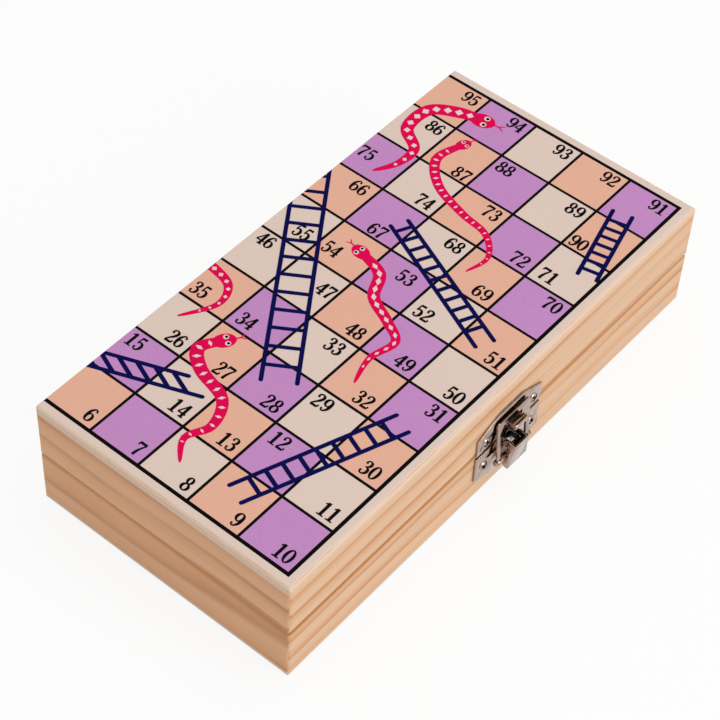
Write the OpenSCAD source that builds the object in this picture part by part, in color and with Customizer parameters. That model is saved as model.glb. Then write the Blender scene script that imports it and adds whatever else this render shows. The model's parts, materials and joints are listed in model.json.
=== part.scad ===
// Folding snakes and ladders board: two wooden trays hinged along the fold.
// The playing field is printed on the outer panels, and a toggle latch holds the trays shut.
// Millimetres, +Z up. The origin is the middle of the base's outer face.
// The latch faces +X and the fold runs along Y.

/* [Board] */
// Side of one printed square
cell = 23; // [18:1:30]
// Squares along the fold
rows = 10; // [8:1:12]
// Squares from the fold to the outer edge of one half
half_columns = 5; // [4:1:6]
// Plain margin round the squares
border = 5; // [3:0.5:10]
// Height of one half
half_h = 26; // [23:1:36]
// Thickness of a printed panel
panel_t = 3; // [2:0.5:5]
// Thickness of a frame rail
rail_t = 9; // [8:0.5:12]
// Gap between the two rims when the box is shut
parting = 0.3; // [0.2:0.05:0.6]
// Rounding of a panel's three outer edges
panel_edge_r = 1.9; // [0.5:0.1:2.2]
// Rounding of a panel's edge at the fold
fold_edge_r = 0.6; // [0.3:0.1:1]
// Rounding of the rim's outer edges
rim_edge_r = 1.6; // [0.4:0.1:2]
// Rounding of the rim's inner edges
rim_inner_r = 0.5; // [0.2:0.1:1]
// Rounding of the upright corners
corner_r = 1.5; // [0.5:0.1:3]

/* [Hinges] */
// Distance from the hinge axis to the back face of each half
fold_gap = 1; // [0.8:0.1:1.4]
// Distance from the middle of the fold to the middle of a hinge
hinge_y = 75; // [50:1:90]
// Length of a hinge
hinge_l = 25; // [18:1:32]
// Depth that a leaf is let into the rim, across the rail
leaf_w = 7; // [6:0.5:7.5]
// Thickness of a leaf
leaf_t = 0.8; // [0.6:0.1:1.2]
// Radius of a hinge knuckle
knuckle_r = 1.5; // [1.3:0.1:1.8]
// Radius of a hinge pin
hinge_pin_r = 0.75; // [0.5:0.05:0.9]
// Shank radius of a hinge screw
hinge_screw_r = 0.8; // [0.6:0.1:1]
// Head radius of a hinge screw
hinge_head_r = 1.6; // [1.3:0.1:2]
// Length of a hinge screw
hinge_screw_l = 8; // [6:0.5:12]

/* [Latch plates] */
// Place of the latch along the front
latch_y = 2; // [-20:1:20]
// Width of both latch plates
latch_w = 38.6; // [36:0.2:44]
// Thickness of the stamped sheet
sheet_t = 0.9; // [0.7:0.1:1.1]
// Height of the keeper plate's crown above the parting line
keeper_top = 14; // [12.5:0.5:16]
// Height of the keeper plate's wing tips
keeper_wing = 9; // [8:0.5:11]
// Width of the keeper plate's level crown
crown_w = 14; // [10:0.5:20]
// Distance of the keeper plate's lower edge from the parting line
keeper_gap = 0.6; // [0.4:0.1:1]
// Drop of the lever plate's chin below the parting line
chin_drop = 19; // [17:0.5:21]
// Drop of the lever plate's wing tips
chin_wing = 14; // [12:0.5:16]
// Width of the lever plate's level chin
chin_w = 8; // [6:0.5:14]
// Distance of the lever plate's upper edge from the parting line
lever_plate_gap = 1.2; // [0.8:0.1:2]
// Distance of the plate screws from the latch's middle
screw_y = 14.3; // [13:0.1:15.5]
// Height of the keeper screws above the parting line
keeper_screw_z = 4.9; // [4.5:0.1:5.5]
// Drop of the lever plate screws below the parting line
lever_screw_drop = 8.6; // [7:0.1:10]
// Shank radius of a plate screw
screw_r = 1; // [0.8:0.1:1.2]
// Head radius of a plate screw
head_r = 2; // [1.7:0.1:2.2]
// Height of a plate screw's domed head
head_h = 1.1; // [0.8:0.1:1.4]
// Length of a plate screw below its head
screw_l = 7; // [5:0.5:8]

/* [Latch hook] */
// Width of the hook
hook_w = 7.2; // [6:0.1:8]
// Height of the hook's seat above the parting line
seat_z = 7.6; // [7:0.1:8.5]
// Thickness of the hook's tongue
tongue_t = 1.4; // [1:0.1:1.8]
// Distance of the hook's nose from the front face
nose_out = 5.3; // [5:0.1:5.5]
// Radius of the hook's nose
nose_r = 1; // [0.8:0.05:1.1]
// Distance of the nose's inner face from the front face
nose_in = 4; // [3.9:0.1:4.4]
// Rise of the nose over the seat
nose_rise = 0.8; // [0.6:0.1:1]
// Drop of the lip's centre below the seat
nose_drop = 0.8; // [0.4:0.1:1.6]

/* [Latch lever and bail] */
// Distance of the lever's pivot from the front face
pivot_out = 4.2; // [4.1:0.1:4.6]
// Drop of the lever's pivot below the parting line
pivot_drop = 5; // [4.6:0.1:5.4]
// Drop of the bail's pivot below the lever's pivot
crank_drop = 4.55; // [4.3:0.05:4.9]
// Offset of the bail's pivot towards the box, which holds the lever over centre
crank_in = 0.65; // [0.4:0.05:0.8]
// Radius of the two latch pins
latch_pin_r = 0.75; // [0.6:0.05:0.85]
// Rounding radius of the lever's head
lever_head_r = 3; // [2.6:0.1:3]
// Widening of the lever towards its tip, as a share of its length
lever_flare_share = 0.3; // [0.2:0.01:0.34]
// Drop of the lever's tip below its pivot
lever_drop = 9.4; // [8.6:0.1:11]
// Distance of the lever's front from its pivot, at the upper edge
lever_front_out = 3.2; // [3.1:0.1:3.6]
// Distance of the lever's front from its pivot, at the tip
lever_tip_out = 2.1; // [1.6:0.1:2.6]
// Depth of the lever's tip
lever_tip_t = 1.6; // [1.4:0.1:2]
// Depth of the lever's cheeks behind the pivot
cheek_in = 2.2; // [2:0.1:2.4]
// Drop of the cheeks' back corner below the pivot
cheek_drop = 6.6; // [6.2:0.1:7]
// Radius of the ears round the lever pin
ear_r = 1.7; // [1.4:0.1:1.8]
// Width of the bail
bail_w = 19.4; // [18.6:0.1:20.4]
// Width of a bail leg
bail_leg_w = 2.2; // [2:0.1:2.6]
// Width of the window round the hook
window_w = 9.8; // [9:0.1:10.5]
// Height of the bail's bar
bar_h = 3; // [2.4:0.1:3.2]
// Distance of the bail's bar from the front face
bar_out = 2; // [1.9:0.05:2.2]
// Height of the window's lower corners above the parting line
window_z = 2; // [1.5:0.1:3]
// Radius of the bail's curls
curl_r = 1.3; // [1.2:0.05:1.5]

/* [Game pieces] */
// Diameter of a counter
counter_d = 16; // [12:1:18]
// Thickness of a counter
counter_t = 5; // [3:0.5:8]
// Rounding of a counter's edges
counter_edge_r = 1; // [0.4:0.1:1.4]
// Side of the die
die_side = 14; // [10:1:16]
// Distance of the pieces from the tray's near wall
piece_gap = 4; // [1:0.5:5]

/* [Hidden] */
$fn = 64;
// Clearances: moving faces, seated pieces, turning pins, and the overrun of cuts
swing_gap = 0.3;
seat_gap = 0.05;
run_fit = 0.05;
side_gap = 0.35;
leg_play = 1.6;
overrun = 1;
// Cross recess, screw point and rivet head
recess_w = 0.45;
recess_share = 1.3;
recess_depth_share = 0.5;
point_share = 0.3;
rivet_r = 1.15;
rivet_h = 0.45;
// Rounding of the bail's upper corners, and how far its bar dips as the lever passes centre
bail_corner_r = 1.6;
bar_dip = 0.2;
// Height over the lever's pivot of its cheeks' shoulders and of its front sheet
lever_shoulder = 2.6;
lever_lip = 2.4;
// Places of the hinge screws and depth of their heads, as shares of the leaf's sizes
head_depth_share = 0.85;
hinge_screw_y_share = 0.3;
hinge_screw_x_share = 0.6;
// Die: rounding sphere, pip step and pip size, as shares of its side
die_round_share = 0.72;
pip_step_share = 0.25;
pip_r_share = 0.1;
pip_depth_share = 0.05;
// Places in the row of game pieces, spread over the tray's width
piece_count = 5;

half_w = half_columns * cell + border - fold_gap;
half_l = rows * cell + 2 * border;
rail_h = half_h - panel_t - parting / 2;
rim = parting / 2;
axis_x = -half_w / 2 - fold_gap;
knuckle_l = (hinge_l - 2 * swing_gap) / 3;
knuckle_step = knuckle_l + swing_gap;
leaf_end = fold_gap + leaf_w;
hinge_screw_x = fold_gap + leaf_w * hinge_screw_x_share;
hinge_screw_step = hinge_l * hinge_screw_y_share;
head_depth = leaf_t * head_depth_share;
head_slope = (hinge_head_r - hinge_screw_r) / head_depth;
crank_x = pivot_out - crank_in;
crank_z = -pivot_drop - crank_drop;
bar_z = seat_z + swing_gap + bar_dip;
bail_rise = bar_z - crank_z;
bail_tilt = atan2(crank_x - bar_out, bail_rise + bar_h / 2);
lever_reach = lever_front_out + overrun;
ear_in = lever_w(ear_r) / 2 - 2 * sheet_t - side_gap;
curl_in = lever_w(-crank_drop - curl_r) / 2 + side_gap;
tray_x = half_w / 2 - rail_t;
tray_y = half_l / 2 - rail_t;
piece_row_y = -tray_y + piece_gap + max(counter_d, die_side) / 2;
piece_step = 2 * tray_x / piece_count;

wood = "burlywood";
ply = "wheat";
steel = "silver";

// Width of the lever at a height over its pivot: its tip fills the room between the bail's legs
function lever_w(z) = 2 * (bail_w / 2 - bail_leg_w - leg_play) - lever_flare_share * (lever_drop + z);

// Placement helpers

// One half with its rim at z = 0: the lid stands over the parting plane, the base hangs under it
module lid_half() translate([0, 0, half_h]) children();
module base_half() translate([0, 0, half_h]) mirror([0, 0, 1]) children();

// Latch frame: x out of the front face, z from the parting plane
module at_latch() translate([half_w / 2, latch_y, half_h]) children();
module at_lever() at_latch() translate([pivot_out, 0, -pivot_drop]) children();
module at_bail() at_latch() translate([crank_x, 0, crank_z]) rotate([0, -bail_tilt, 0]) children();

// A flat outline stood up as a sheet across x, and a side profile extended across y
module sheet(thickness) rotate([90, 0, 90]) linear_extrude(thickness) children();
module across(width) rotate([90, 0, 0]) linear_extrude(width, center = true) children();
module pin_y(r, l) rotate([90, 0, 0]) cylinder(r = r, h = l, center = true);

// What is left to cut away to round a corner at the origin, with material towards +x and +y
module corner_cut(r) {
    difference() {
        translate([-overrun, -overrun]) square(r + overrun);
        translate([r, r]) circle(r);
    }
}

// A rectangle in the middle of the origin, with one rounding for each corner in turn
module rounded_outline(w, l, radii) {
    corners = [[-w / 2, -l / 2], [w / 2, -l / 2], [w / 2, l / 2], [-w / 2, l / 2]];
    difference() {
        square([w, l], center = true);
        for (k = [0:3]) translate(corners[k]) rotate(90 * k) corner_cut(radii[k]);
    }
}

// Wooden halves

module half_outline() rounded_outline(half_w, half_l, [corner_r, corner_r, corner_r, corner_r]);

// Cross-section of a rail: outer face at x = 0, rim at y = 0
module rail_profile() {
    difference() {
        translate([-rail_t, 0]) square([rail_t, rail_h]);
        rotate(90) corner_cut(rim_edge_r);
        translate([-rail_t, 0]) corner_cut(rim_inner_r);
    }
}

// A rail with mitred ends: run is its outer length, reach its outer face's distance from the middle
module rail(run, reach, turn) {
    translate([0, 0, rim]) intersection() {
        rotate(turn) translate([reach, 0, 0]) across(run) rail_profile();
        rotate(turn) translate([reach, 0, 0]) linear_extrude(rail_h) polygon([
            [0, -run / 2], [0, run / 2], [-rail_t, run / 2 - rail_t], [-rail_t, rail_t - run / 2]
        ]);
        linear_extrude(rail_h) half_outline();
    }
}

module latch_rail() rail(half_l, half_w / 2, 0);
module near_rail() rail(half_w, half_l / 2, -90);
module far_rail() rail(half_w, half_l / 2, 90);

// The fold rail is recessed for both hinges: leaf bed, room for the knuckles, screw holes
module fold_rail() {
    difference() {
        rail(half_l, half_w / 2, 180);
        for (side = [-1, 1]) translate([axis_x, side * hinge_y, 0]) {
            translate([0, -hinge_l / 2 - seat_gap, 0])
                cube([leaf_end + seat_gap, hinge_l + 2 * seat_gap, rim + leaf_t]);
            pin_y(knuckle_r + swing_gap, hinge_l + 2 * swing_gap);
            for (s = [-1, 1]) translate([hinge_screw_x, s * hinge_screw_step, 0])
                cylinder(r = hinge_screw_r + seat_gap, h = rim + hinge_screw_l + seat_gap);
        }
    }
}

// The panel is glued on the rails; its edge at the fold is kept sharper, because squares run up to it
module panel() {
    translate([0, 0, rim + rail_h]) intersection() {
        linear_extrude(panel_t) half_outline();
        translate([0, 0, panel_t / 2]) across(half_l)
            rounded_outline(half_w, panel_t, [0, 0, panel_edge_r, fold_edge_r]);
        translate([0, 0, panel_t / 2]) rotate(90) across(half_w)
            rounded_outline(half_l, panel_t, [0, 0, panel_edge_r, panel_edge_r]);
    }
}

// Holes for the latch screws in the front rails
module screw_holes(z) {
    at_latch() for (s = [-1, 1]) translate([-screw_l - seat_gap, s * screw_y, z])
        rotate([0, 90, 0]) cylinder(r = screw_r + seat_gap, h = screw_l + overrun);
}

module lid_panel() color(ply) lid_half() panel();
module lid_fold_rail() color(wood) lid_half() fold_rail();
module lid_near_rail() color(wood) lid_half() near_rail();
module lid_far_rail() color(wood) lid_half() far_rail();
module lid_latch_rail() {
    color(wood) difference() {
        lid_half() latch_rail();
        screw_holes(keeper_screw_z);
    }
}

module base_panel() color(ply) base_half() panel();
module base_fold_rail() color(wood) base_half() fold_rail();
module base_near_rail() color(wood) base_half() near_rail();
module base_far_rail() color(wood) base_half() far_rail();
module base_latch_rail() {
    color(wood) difference() {
        base_half() latch_rail();
        screw_holes(-lever_screw_drop);
    }
}

// Hinges

// Countersunk screw, head at z = 0 and point towards +z
module countersunk_screw() {
    point = hinge_screw_l * point_share;
    difference() {
        union() {
            cylinder(r1 = hinge_head_r, r2 = hinge_screw_r, h = head_depth);
            cylinder(r = hinge_screw_r, h = hinge_screw_l - point);
            translate([0, 0, hinge_screw_l - point])
                cylinder(r1 = hinge_screw_r, r2 = hinge_screw_r * point_share, h = point);
        }
        cross_recess(hinge_head_r, head_depth);
    }
}

// Cross-shaped cut from z = 0 down into a head of the given radius and height
module cross_recess(r, h) {
    for (a = [0, 90]) rotate(a) translate([0, 0, h * recess_depth_share / 2])
        cube([r * recess_share, recess_w, h * recess_depth_share], center = true);
}

// Side view of a knuckle: the rolled barrel, bored for the pin, and the strip that joins the plate
module knuckle_profile() {
    difference() {
        union() {
            circle(knuckle_r);
            translate([0, rim]) square([knuckle_r + overrun, leaf_t]);
        }
        circle(hinge_pin_r + run_fit);
    }
}

// One leaf with its knuckles at the given places along the pin
module hinge_leaf(places) {
    difference() {
        union() {
            translate([knuckle_r + swing_gap, -hinge_l / 2, rim])
                cube([leaf_end - knuckle_r - swing_gap, hinge_l, leaf_t]);
            for (y = places) translate([0, y, 0]) across(knuckle_l) knuckle_profile();
        }
        for (s = [-1, 1]) translate([hinge_screw_x, s * hinge_screw_step, rim - overrun]) {
            cylinder(r = hinge_screw_r + seat_gap, h = leaf_t + 2 * overrun);
            cylinder(
                r1 = hinge_head_r + seat_gap + overrun * head_slope, r2 = hinge_screw_r + seat_gap,
                h = head_depth + overrun
            );
        }
    }
}

module lid_leaf(side)
    color(steel) lid_half() translate([axis_x, side * hinge_y, 0]) hinge_leaf([0]);
module base_leaf(side)
    color(steel) base_half() translate([axis_x, side * hinge_y, 0])
        hinge_leaf([-knuckle_step, knuckle_step]);
module hinge_pin(side)
    color(steel) translate([axis_x, side * hinge_y, half_h]) pin_y(hinge_pin_r, hinge_l);
module hinge_screws() {
    for (side = [-1, 1], s = [-1, 1])
        translate([axis_x + hinge_screw_x, side * hinge_y + s * hinge_screw_step, rim])
            countersunk_screw();
}

module hinge_near_lid_leaf() lid_leaf(-1);
module hinge_far_lid_leaf() lid_leaf(1);
module hinge_near_base_leaf() base_leaf(-1);
module hinge_far_base_leaf() base_leaf(1);
module hinge_near_pin() hinge_pin(-1);
module hinge_far_pin() hinge_pin(1);
module hinge_lid_screws() color(steel) lid_half() hinge_screws();
module hinge_base_screws() color(steel) base_half() hinge_screws();

// Latch

// Half of a plate's outline, from the middle to one wing: low and high are level, wing is the tip's height
module plate_half(near, far, wing, level_w) {
    polygon([
        [0, near], [latch_w / 2, near], [latch_w / 2, wing], [level_w / 2, far], [0, far]
    ]);
}

module plate_outline(near, far, wing, level_w) {
    plate_half(near, far, wing, level_w);
    mirror([1, 0]) plate_half(near, far, wing, level_w);
}

module plate_screw_holes(z) {
    for (s = [-1, 1]) translate([-overrun, s * screw_y, z])
        rotate([0, 90, 0]) cylinder(r = screw_r + seat_gap, h = sheet_t + 2 * overrun);
}

// The hook is a tongue bent out of the keeper plate: a seat for the bar, a raised nose and a rounded lip
module hook_profile() {
    top = seat_z + nose_rise;
    translate([0, seat_z - tongue_t]) square([nose_out, tongue_t]);
    translate([nose_in, seat_z - tongue_t]) square([nose_out - nose_in, tongue_t + nose_rise]);
    for (z = [top - nose_r, seat_z - nose_drop]) translate([nose_out, z]) circle(nose_r);
    translate([nose_out - nose_r, seat_z - nose_drop]) square([2 * nose_r, nose_rise - nose_r + nose_drop]);
}

module keeper_plate() {
    color(steel) at_latch() difference() {
        union() {
            sheet(sheet_t) plate_outline(keeper_gap, keeper_top, keeper_wing, crown_w);
            across(hook_w) hook_profile();
        }
        plate_screw_holes(keeper_screw_z);
    }
}

// Two ears bent out of the lever plate stand inside the lever and hold its pin
module ear_profile() {
    translate([pivot_out, -pivot_drop]) circle(ear_r);
    translate([0, -pivot_drop - ear_r]) square([pivot_out, 2 * ear_r]);
}

module lever_plate() {
    color(steel) at_latch() difference() {
        union() {
            sheet(sheet_t) plate_outline(-lever_plate_gap, -chin_drop, -chin_wing, chin_w);
            for (s = [-1, 1]) translate([0, s * (ear_in + sheet_t / 2), 0]) across(sheet_t) ear_profile();
        }
        plate_screw_holes(-lever_screw_drop);
        translate([pivot_out, 0, -pivot_drop]) pin_y(latch_pin_r + run_fit, latch_w);
    }
}

// Domed cross-head screw, head from z = 0 towards +z and shank towards -z
module dome_screw() {
    dome_r = (head_r * head_r + head_h * head_h) / (2 * head_h);
    point = screw_l * point_share;
    difference() {
        rotate_extrude() intersection() {
            translate([0, head_h - dome_r]) circle(dome_r);
            square([head_r, head_h]);
        }
        translate([0, 0, head_h]) mirror([0, 0, 1]) cross_recess(head_r, head_h);
    }
    translate([0, 0, point - screw_l]) cylinder(r = screw_r, h = screw_l - point);
    translate([0, 0, -screw_l]) cylinder(r1 = screw_r * point_share, r2 = screw_r, h = point);
}

module plate_screws(z) {
    color(steel) at_latch() for (s = [-1, 1])
        translate([sheet_t, s * screw_y, z]) rotate([0, 90, 0]) dome_screw();
}

module keeper_screws() plate_screws(keeper_screw_z);
module lever_plate_screws() plate_screws(-lever_screw_drop);

// Pin with a riveted head at each end, gripping the given width
module riveted_pin(grip) {
    pin_y(latch_pin_r, grip + 2 * rivet_h);
    for (s = [-1, 1]) translate([0, s * (grip + rivet_h) / 2, 0]) pin_y(rivet_r, rivet_h);
}

module lever_pin() color(steel) at_lever() pin_y(latch_pin_r, lever_w(latch_pin_r));
module bail_pin()
    color(steel) at_latch() translate([crank_x, 0, crank_z]) riveted_pin(bail_w + 2 * swing_gap);

// Block that the lever is cut from: a round head on the pivot and a tapering body down to the tip
module lever_block() {
    pin_y(lever_head_r, bail_w);
    across(bail_w) polygon([
        [-cheek_in, 0], [0, lever_shoulder], [lever_front_out, lever_shoulder],
        [lever_tip_out, -lever_drop], [lever_tip_out - lever_tip_t, -lever_drop], [-cheek_in, -cheek_drop]
    ]);
}

// Front of the lever, narrower by the given inset: flared from over the head to below the tip
module lever_front(inset) {
    head = lever_w(lever_reach) / 2 - inset;
    tip = lever_w(-lever_drop - overrun) / 2 - inset;
    low = -lever_drop - overrun;
    polygon([[-head, lever_reach], [head, lever_reach], [tip, low], [-tip, low]]);
}

// The lever is a folded channel, open towards the box and over its head
module lever() {
    color(steel) at_lever() difference() {
        intersection() {
            union() lever_block();
            translate([-lever_reach, 0, 0]) sheet(2 * lever_reach) lever_front(0);
        }
        intersection() {
            across(bail_w) polygon([
                [-lever_reach, lever_reach], [lever_reach, lever_reach],
                [lever_reach, lever_lip], [lever_front_out - sheet_t, lever_lip],
                [lever_tip_out - sheet_t, sheet_t - lever_drop], [-lever_reach, sheet_t - lever_drop]
            ]);
            translate([-lever_reach, 0, 0]) sheet(2 * lever_reach) lever_front(sheet_t);
        }
        pin_y(latch_pin_r + run_fit, latch_w);
        translate([-crank_in, 0, -crank_drop]) pin_y(latch_pin_r, latch_w);
    }
}

// The bail is a stamped frame: a bar over the hook, a window round it, and legs curled round their pin
module bail_outline() {
    top = bail_rise + bar_h;
    leg_gap = bail_w - 2 * bail_leg_w;
    difference() {
        translate([0, top / 2]) rounded_outline(bail_w, top, [0, 0, bail_corner_r, bail_corner_r]);
        translate([-window_w / 2, -overrun]) square([window_w, bail_rise + overrun]);
        translate([-leg_gap / 2, -overrun]) square([leg_gap, window_z - crank_z + overrun]);
    }
}

module bail() {
    curl_l = bail_w / 2 - curl_in;
    color(steel) at_bail() difference() {
        union() {
            translate([-sheet_t / 2, 0, 0]) sheet(sheet_t) bail_outline();
            for (s = [-1, 1]) translate([0, s * (curl_in + curl_l / 2), 0]) pin_y(curl_r, curl_l);
        }
        pin_y(latch_pin_r + run_fit, latch_w);
    }
}

// Game pieces, kept in a row at the near end of the base tray

module in_tray(place)
    translate([(place - (piece_count - 1) / 2) * piece_step, piece_row_y, panel_t]) children();

module counter(place) {
    in_tray(place) rotate_extrude() intersection() {
        translate([0, counter_t / 2]) rounded_outline(counter_d, counter_t,
            [counter_edge_r, counter_edge_r, counter_edge_r, counter_edge_r]);
        square([counter_d, counter_t]);
    }
}

module counter_red() color("crimson") counter(0);
module counter_blue() color("royalblue") counter(1);
module counter_green() color("seagreen") counter(3);
module counter_yellow() color("gold") counter(4);

// Pips of the faces one to six, in steps from the middle of the face, and the turn of each face
pip_places = [
    [[0, 0]],
    [[-1, -1], [1, 1]],
    [[-1, -1], [0, 0], [1, 1]],
    [[-1, -1], [-1, 1], [1, -1], [1, 1]],
    [[-1, -1], [-1, 1], [0, 0], [1, -1], [1, 1]],
    [[-1, -1], [-1, 0], [-1, 1], [1, -1], [1, 0], [1, 1]]
];
face_turns = [[0, 0, 0], [90, 0, 0], [0, 90, 0], [0, -90, 0], [-90, 0, 0], [180, 0, 0]];

module die() {
    pip_r = die_side * pip_r_share;
    step = die_side * pip_step_share;
    color("ivory") in_tray(2) translate([0, 0, die_side / 2]) difference() {
        intersection() {
            cube(die_side, center = true);
            sphere(die_side * die_round_share);
        }
        for (face = [0:5]) rotate(face_turns[face]) for (p = pip_places[face])
            translate([p[0] * step, p[1] * step, die_side / 2 + pip_r - die_side * pip_depth_share])
                sphere(pip_r);
    }
}

lid_panel();
lid_latch_rail();
lid_fold_rail();
lid_near_rail();
lid_far_rail();
base_panel();
base_latch_rail();
base_fold_rail();
base_near_rail();
base_far_rail();
hinge_near_lid_leaf();
hinge_far_lid_leaf();
hinge_lid_screws();
hinge_near_base_leaf();
hinge_far_base_leaf();
hinge_base_screws();
hinge_near_pin();
hinge_far_pin();
keeper_plate();
keeper_screws();
lever_plate();
lever_plate_screws();
lever_pin();
lever();
bail_pin();
bail();
counter_red();
counter_blue();
counter_green();
counter_yellow();
die();
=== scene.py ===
# %% [markdown]
# # A folding snakes and ladders board
# Two wooden trays are hinged along a fold and shut by a small toggle latch, and the playing
# field is printed on their outer panels. The CAD frame already holds the wood and the hardware
# as exact solids, so this lesson gives them their finishes, softens the stamped metal and lays
# the print on the panels as thin films of ink.

# %% Load the frame
import json
import math
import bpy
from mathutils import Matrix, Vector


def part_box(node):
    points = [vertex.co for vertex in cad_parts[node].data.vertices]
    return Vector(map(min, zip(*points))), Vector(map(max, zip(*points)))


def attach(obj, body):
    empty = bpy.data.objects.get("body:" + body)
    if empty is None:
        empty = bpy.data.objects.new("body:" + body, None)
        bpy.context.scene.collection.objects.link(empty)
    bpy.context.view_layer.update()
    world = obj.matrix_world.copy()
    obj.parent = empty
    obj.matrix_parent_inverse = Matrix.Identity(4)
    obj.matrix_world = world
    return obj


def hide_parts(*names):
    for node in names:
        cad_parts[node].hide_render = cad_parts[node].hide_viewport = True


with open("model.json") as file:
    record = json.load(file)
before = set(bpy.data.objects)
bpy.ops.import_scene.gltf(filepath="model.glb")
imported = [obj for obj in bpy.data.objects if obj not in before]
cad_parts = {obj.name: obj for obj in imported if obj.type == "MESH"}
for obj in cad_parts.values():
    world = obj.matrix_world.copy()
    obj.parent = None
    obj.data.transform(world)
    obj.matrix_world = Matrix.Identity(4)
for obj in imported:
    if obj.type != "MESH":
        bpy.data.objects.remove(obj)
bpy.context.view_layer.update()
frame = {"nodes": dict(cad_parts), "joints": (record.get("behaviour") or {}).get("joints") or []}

from types import SimpleNamespace

import bmesh
import bpy
from mathutils import Matrix, Vector
from mathutils.geometry import delaunay_2d_cdt

scene = bpy.context.scene
nodes = frame["nodes"]
MM = 0.001

# %% [markdown]
# ## Camera
# The printed grid is a ready-made ruler, so the camera of the photograph can be solved from its
# corners. A camera could be aimed with a Track To constraint, but writing its three axes into
# the matrix keeps the small roll that a hand-set tripod always has.

# %% Camera
IMAGE_PX = 720
FOCAL_PX = 2158.0
SENSOR = 36.0
RIGHT = (0.76724, 0.64019, 0.03867)
UP = (-0.50408, 0.56465, 0.65351)
AHEAD = (-0.39654, 0.52089, -0.75593)
EYE = (0.32044, -0.43219, 0.64001)

lens = bpy.data.cameras.new("photo_camera")
lens.sensor_width = SENSOR
lens.lens = SENSOR * FOCAL_PX / IMAGE_PX
lens.clip_start = 0.01
camera = bpy.data.objects.new("photo_camera", lens)
scene.collection.objects.link(camera)
axes = Matrix((RIGHT, UP, [-a for a in AHEAD])).transposed().to_4x4()
camera.matrix_world = Matrix.Translation(EYE) @ axes
scene.camera = camera
scene.view_settings.view_transform = "Standard"
print("lens", round(lens.lens, 1), "mm")

# %% [markdown]
# ## Node sheets
# Finishes and repeating shapes are both built from nodes. Wiring them by hand in the editor is
# fine for one, but here a small class wraps a socket, so that sums on it read as plain Python
# and each operator adds one Math node. Reflected forms let a plain number stand first, as in
# 1 - mask; Python itself turns 1 < mask round. One method makes every other kind of node.

# %% Values
class Value:
    """A socket that can take part in Python sums."""

    def __init__(self, sheet, socket):
        self.sheet, self.socket = sheet, socket

    def math(self, operation, first, second=0.0):
        return self.sheet.add("ShaderNodeMath", {0: first, 1: second}, operation=operation)

    def other(self, output):
        return Value(self.sheet, self.socket.node.outputs[output])

    def __abs__(self):
        return self.math("ABSOLUTE", self)


OPERATORS = {"add": "ADD", "sub": "SUBTRACT", "mul": "MULTIPLY", "truediv": "DIVIDE",
             "pow": "POWER", "mod": "FLOORED_MODULO", "lt": "LESS_THAN", "gt": "GREATER_THAN"}
for method, operation in OPERATORS.items():
    setattr(Value, f"__{method}__", lambda self, other, op=operation: self.math(op, self, other))
    if method not in ("lt", "gt"):
        setattr(Value, f"__r{method}__",
                lambda self, other, op=operation: self.math(op, other, self))
print("operators on values:", ", ".join(OPERATORS))

# %% Node sheets
class NodeSheet:
    """A node tree that is written line by line."""

    def __init__(self, tree):
        self.tree = tree

    def add(self, kind, sockets=None, output=0, **settings):
        node = self.tree.nodes.new(kind)
        for name, setting in settings.items():
            if name == "stops":
                elements = node.color_ramp.elements
                while len(elements) < len(setting):
                    elements.new(1.0)
                for element, (position, colour) in zip(elements, setting):
                    element.position, element.color = position, colour
            else:
                setattr(node, name, setting)
        for key, value in (sockets or {}).items():
            if isinstance(value, Value):
                self.tree.links.new(value.socket, node.inputs[key])
            else:
                node.inputs[key].default_value = value
        return Value(self, node.outputs[output]) if node.outputs else node

    def mix(self, share, first, second):
        return self.add("ShaderNodeMix", {0: share, 6: first, 7: second}, 2, data_type="RGBA")

    def ramp(self, value, *stops):
        return self.add("ShaderNodeValToRGB", {0: value}, stops=stops)

    def noise(self, place, scale, detail, seed):
        return self.add("ShaderNodeTexNoise", {
            "Vector": place, "W": seed, "Scale": scale, "Detail": detail}, noise_dimensions="4D")


def srgb(red, green, blue):
    """A colour as a paint chip shows it, from 0 to 255, made linear for the shader."""
    linear = [c / 12.92 if c <= 0.04045 else ((c + 0.055) / 1.055) ** 2.4
              for c in (red / 255, green / 255, blue / 255)]
    return (*linear, 1.0)


print("node sheets ready")

# %% [markdown]
# ## Studio
# The photograph looks as if it was taken in a light tent: a broad light from the latch side, a
# softer one from above, and white all round. The floor and the world are lit as usual, but rays
# from the camera and from shiny metal see them nearly white, and the floor keeps the shadow of
# the box. Metal in an all white room looks like paper, so a dark card hangs overhead where only
# metal sees it.

# %% World and floor
FLOOR_Z = -0.2 * MM
FLOOR_SIDE = 8.0
FLOOR_WHITE_SHARE = 0.88
SKY = 0.50
WHITE = (1, 1, 1, 1)


def new_material(name):
    material = bpy.data.materials.new(name)
    material.use_nodes = True
    sheet = NodeSheet(material.node_tree)
    sheet.material = material
    return sheet


def seen_directly(sheet):
    """1 for rays from the camera, from shiny metal and through glass, and 0 for other light."""
    path = sheet.add("ShaderNodeLightPath", output="Is Camera Ray")
    seen = path + path.other("Is Glossy Ray") + path.other("Is Transmission Ray")
    return seen > 0.5


def use_surface(sheet, shader, kind="OUTPUT_MATERIAL"):
    ends = [n for n in sheet.tree.nodes if n.type == kind]
    sheet.tree.links.new(shader.socket, ends[0].inputs["Surface"])


def level_sheet(name, place, width, depth, material):
    """A flat rectangle of the studio, which isn't part of the board."""
    mesh = bpy.data.meshes.new(name)
    mesh.from_pydata([(place[0] + x * width / 2, place[1] + y * depth / 2, place[2])
                      for x, y in ((-1, -1), (1, -1), (1, 1), (-1, 1))], [], [(0, 1, 2, 3)])
    mesh.materials.append(material)
    plane = bpy.data.objects.new(name, mesh)
    scene.collection.objects.link(plane)
    return plane


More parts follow.
